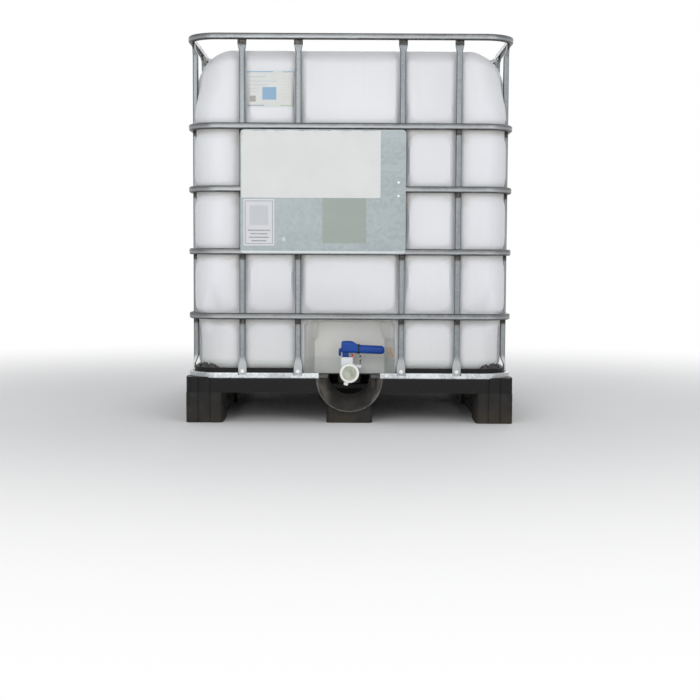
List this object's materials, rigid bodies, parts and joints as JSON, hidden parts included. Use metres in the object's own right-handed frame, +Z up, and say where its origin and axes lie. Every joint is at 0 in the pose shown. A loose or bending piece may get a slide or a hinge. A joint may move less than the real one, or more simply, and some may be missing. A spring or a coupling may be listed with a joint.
{
  "type": "intermediate bulk container",
  "caption": "Translucent plastic tank in a welded tube cage on a black plastic pallet, with a screw lid, a bottom outlet valve with blue handle and a marking plate.",
  "frame": {"origin": "centre of the pallet's underside, on the floor", "axes": "+Z up, -Y towards the outlet valve at the front, +X to the right seen from the front"},
  "size_m": [1, 1.2, 1.177],
  "materials": {
    "pallet_plastic": "black moulded polyethylene, scuffed and dusty",
    "skid_plastic": "black moulded polyethylene",
    "pad_plastic": "black polyethylene",
    "galvanised_tube": "zinc-coated steel tube, dull spangle",
    "galvanised_sheet": "zinc-coated steel sheet, dull spangle",
    "zinc_fastener": "zinc-plated steel",
    "tank_plastic": "translucent white blow-moulded polyethylene, satin",
    "lid_plastic": "black moulded polypropylene",
    "vent_plastic": "red moulded polypropylene",
    "seal_rubber": "black rubber",
    "valve_plastic": "white moulded polyethylene",
    "cap_plastic": "white translucent polyethylene",
    "cap_window_plastic": "milky grey-green film",
    "handle_plastic": "blue moulded polypropylene",
    "disc_plastic": "grey moulded polypropylene",
    "lock_plastic": "red moulded plastic",
    "tie_nylon": "black nylon",
    "sticker_film": "blank off-white film",
    "placard_film": null,
    "label_film": null
  },
  "bodies": {
    "container": {"pallet": "pallet_plastic", "pallet_legs": "pallet_plastic", "pallet_skids": "skid_plastic", "skid_screws": "zinc_fastener", "corner_pads": "pad_plastic", "base_tray": "galvanised_sheet", "base_frame": "galvanised_tube", "base_bolts": "zinc_fastener", "ring_top": "galvanised_tube", "ring_upper": "galvanised_tube", "ring_middle": "galvanised_tube", "ring_lower": "galvanised_tube", "ring_bottom": "galvanised_tube", "uprights_front": "galvanised_tube", "uprights_back": "galvanised_tube", "uprights_left": "galvanised_tube", "uprights_right": "galvanised_tube", "foot_screws": "zinc_fastener", "crossbar_front": "galvanised_tube", "crossbar_back": "galvanised_tube", "crossbar_screws": "zinc_fastener", "tank": "tank_plastic", "tank_label": "label_film", "outlet_gasket": "seal_rubber", "union_nut": "valve_plastic", "valve_body": "valve_plastic", "stem_seal": "seal_rubber", "lock_pin": "lock_plastic", "tie_tail": "tie_nylon", "marking_plate": "galvanised_sheet", "blank_sticker": "sticker_film", "placard": "placard_film", "plate_hooks": "galvanised_sheet", "lock_tab": "galvanised_sheet", "plate_rivets": "zinc_fastener"},
    "lid_seal": {"lid_gasket": "seal_rubber"},
    "lid": {"lid": "lid_plastic"},
    "vent_seal": {"vent_gasket": "seal_rubber"},
    "vent_plug": {"vent_plug": "vent_plastic"},
    "handle": {"valve_handle": "handle_plastic", "handle_screw": "zinc_fastener", "valve_stem": "disc_plastic", "valve_disc": "disc_plastic", "tie_band": "tie_nylon"},
    "dust_cap": {"dust_cap": "cap_plastic", "cap_window": "cap_window_plastic"}
  },
  "joints": [
    {"name": "lid_rise", "type": "slide", "parent": "container", "child": "lid_seal", "axis": [0, 0, 1], "range_m": [0, 0.036]},
    {"name": "lid_turn", "type": "hinge", "parent": "lid_seal", "child": "lid", "pos_m": [0, 0, 1.13], "axis": [0, 0, 1], "range_deg": [0, 1080]},
    {"name": "vent_rise", "type": "slide", "parent": "lid", "child": "vent_seal", "axis": [0, 0, 1], "range_m": [0, 0.012]},
    {"name": "vent_turn", "type": "hinge", "parent": "vent_seal", "child": "vent_plug", "pos_m": [0, 0, 1.15], "axis": [0, 0, 1], "range_deg": [0, 1080]},
    {"name": "handle_turn", "type": "hinge", "parent": "container", "child": "handle", "pos_m": [0, -0.5105, 0.2], "axis": [0, 0, -1], "range_deg": [0, 90]},
    {"name": "cap_pull", "type": "slide", "parent": "container", "child": "dust_cap", "axis": [0, -1, 0], "range_m": [0, 0.03]}
  ],
  "couplings": [
    {"joint": "lid_rise", "follows": "lid_turn", "m_per_rad": 0.0019099},
    {"joint": "vent_rise", "follows": "vent_turn", "m_per_rad": 0.00063662}
  ]
}
